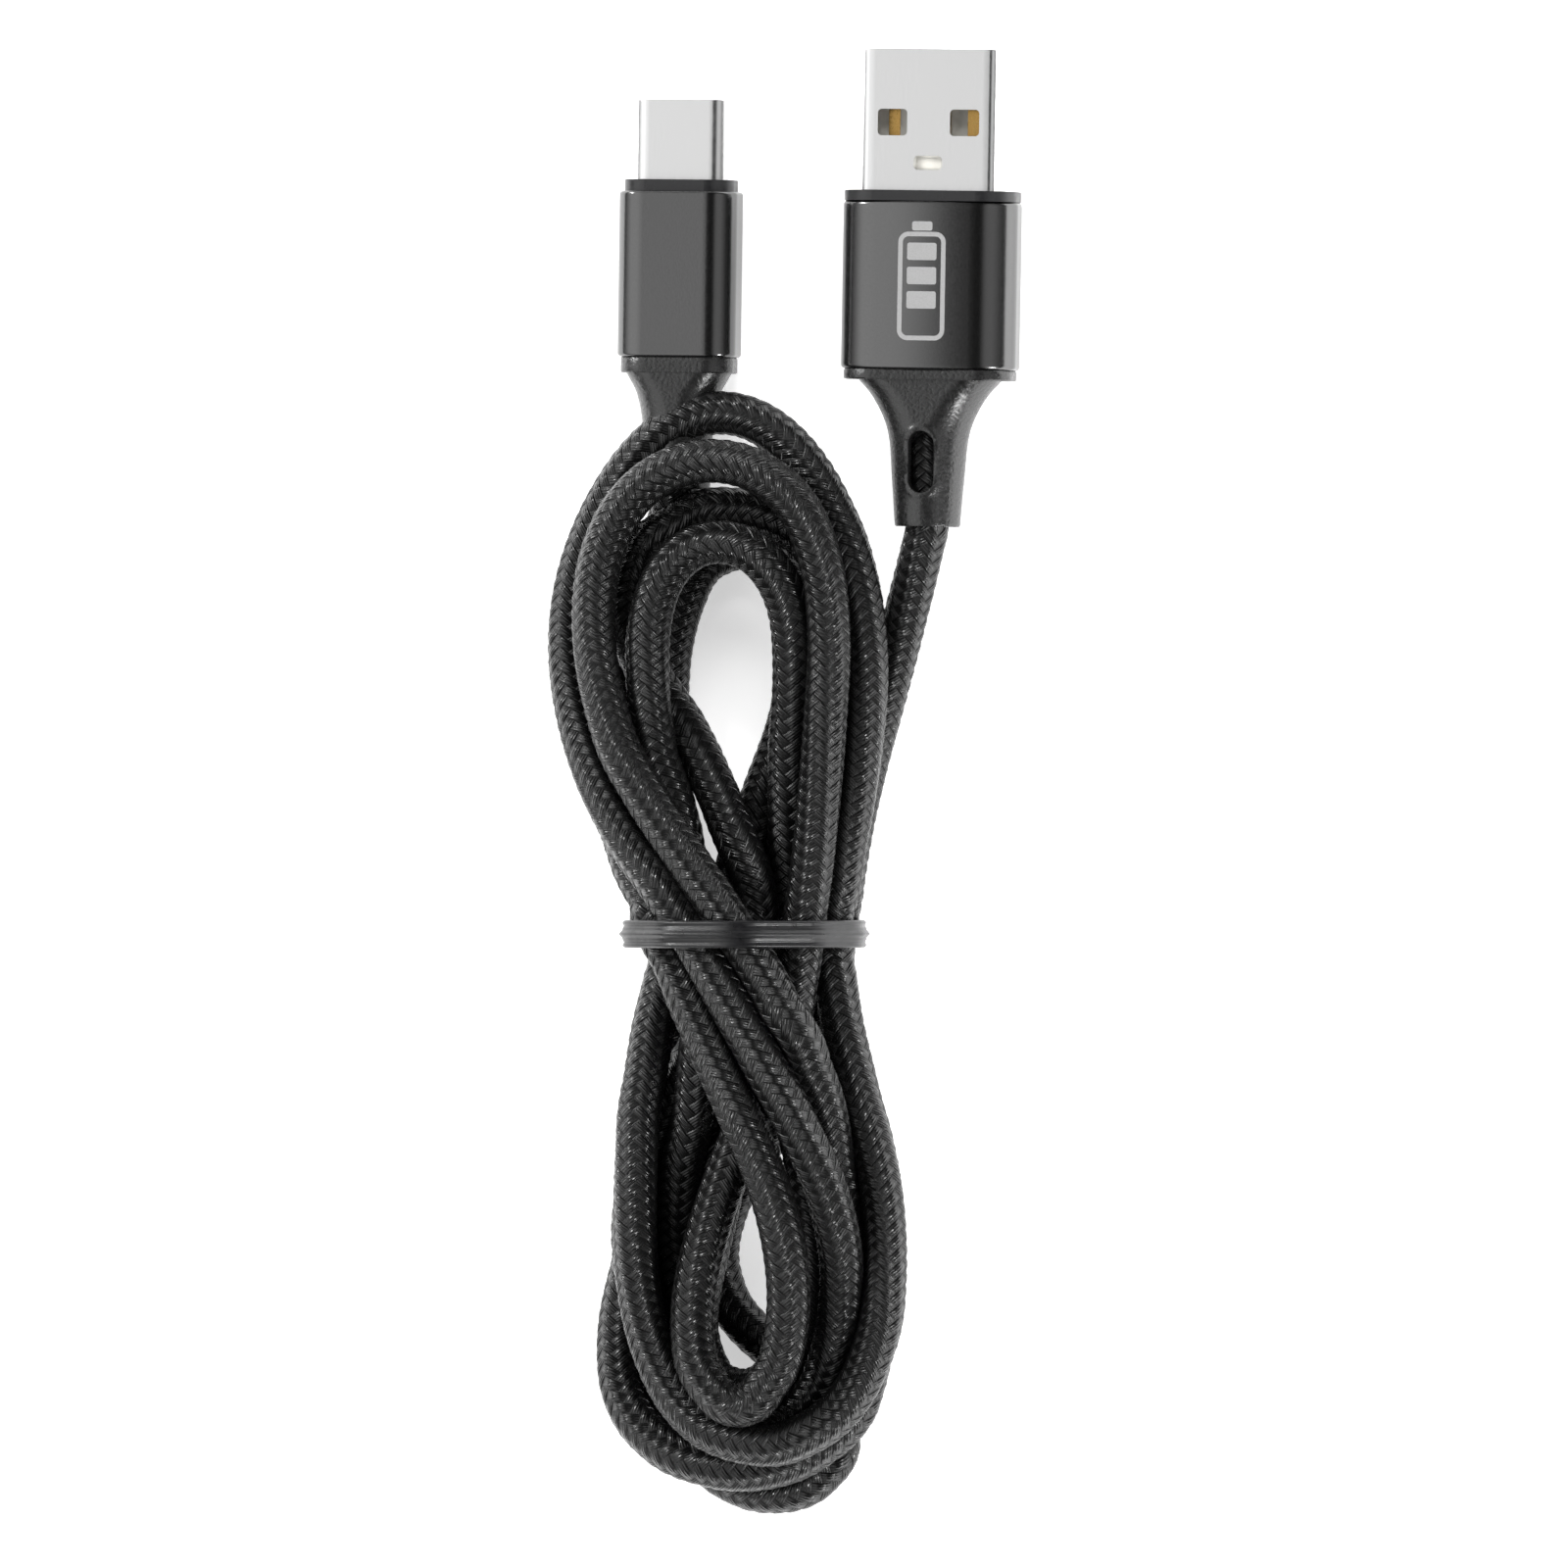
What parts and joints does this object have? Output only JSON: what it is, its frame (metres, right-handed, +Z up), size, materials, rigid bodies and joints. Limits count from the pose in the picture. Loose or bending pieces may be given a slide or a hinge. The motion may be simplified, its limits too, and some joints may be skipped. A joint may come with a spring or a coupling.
{
  "type": "charging cable",
  "caption": "Braided USB-A to USB-C charging cable with metal plug housings, folded into a waisted hank held by a twist tie.",
  "frame": {"origin": "middle of the whole object's footprint, on the surface that it lies on, under the hank", "axes": "+Y along the hank from the tie towards both plugs, which point along +Y; +X to the right with the plugs away from the viewer, so the USB-A plug is on +X; +Z up, out of the surface"},
  "size_m": [0.0409, 0.1277, 0.0115],
  "materials": {
    "nickel_steel": "bright nickel-plated steel sheet",
    "black_aluminium": "black anodised, fine bead-blasted satin",
    "black_tpe": "moulded elastomer with a fine leathery grain",
    "black_pp": "moulded polypropylene, satin",
    "white_pbt": "moulded PBT, satin",
    "dark_lcp": "moulded liquid-crystal polymer, matt",
    "gold_contact": "gold flash over nickel",
    "spring_steel": "stamped stainless spring strip",
    "solder": "bright tin solder",
    "board_green": "glass-epoxy board with green mask",
    "chip_black": "thick-film chip, matt",
    "wire_red": "extruded PVC insulation",
    "wire_white": "extruded PVC insulation",
    "wire_green": "extruded PVC insulation",
    "wire_black": "extruded PVC insulation",
    "nylon_braid": "black nylon filament braid, glossy strands",
    "tie_pvc": "extruded black PVC, ribbed lengthways",
    "tie_steel": "galvanised soft steel wire"
  },
  "bodies": {
    "root": {"usb_a_shell": "nickel_steel", "usb_a_insulator": "white_pbt", "usb_a_contact_1": "gold_contact", "usb_a_contact_2": "gold_contact", "usb_a_contact_3": "gold_contact", "usb_a_contact_4": "gold_contact", "usb_a_wire_1": "wire_red", "usb_a_wire_2": "wire_white", "usb_a_wire_3": "wire_green", "usb_a_wire_4": "wire_black", "usb_a_solder": "solder", "usb_a_inner_mould": "black_pp", "usb_a_housing": "black_aluminium", "usb_a_strain_relief": "black_tpe", "usb_c_shell": "nickel_steel", "usb_c_insulator": "dark_lcp", "usb_c_upper_contacts": "gold_contact", "usb_c_lower_contacts": "gold_contact", "usb_c_latch": "spring_steel", "usb_c_ground_springs": "spring_steel", "usb_c_board": "board_green", "usb_c_resistor": "chip_black", "usb_c_wire_1": "wire_red", "usb_c_wire_2": "wire_white", "usb_c_wire_3": "wire_green", "usb_c_wire_4": "wire_black", "usb_c_solder": "solder", "usb_c_inner_mould": "black_pp", "usb_c_housing": "black_aluminium", "usb_c_strain_relief": "black_tpe", "cord_end_a": "nylon_braid", "cord_lead_a": "nylon_braid", "cord_hank": "nylon_braid", "cord_lead_c": "nylon_braid", "cord_end_c": "nylon_braid", "tie_sleeve": "tie_pvc", "tie_wire": "tie_steel"}
  },
  "joints": []
}
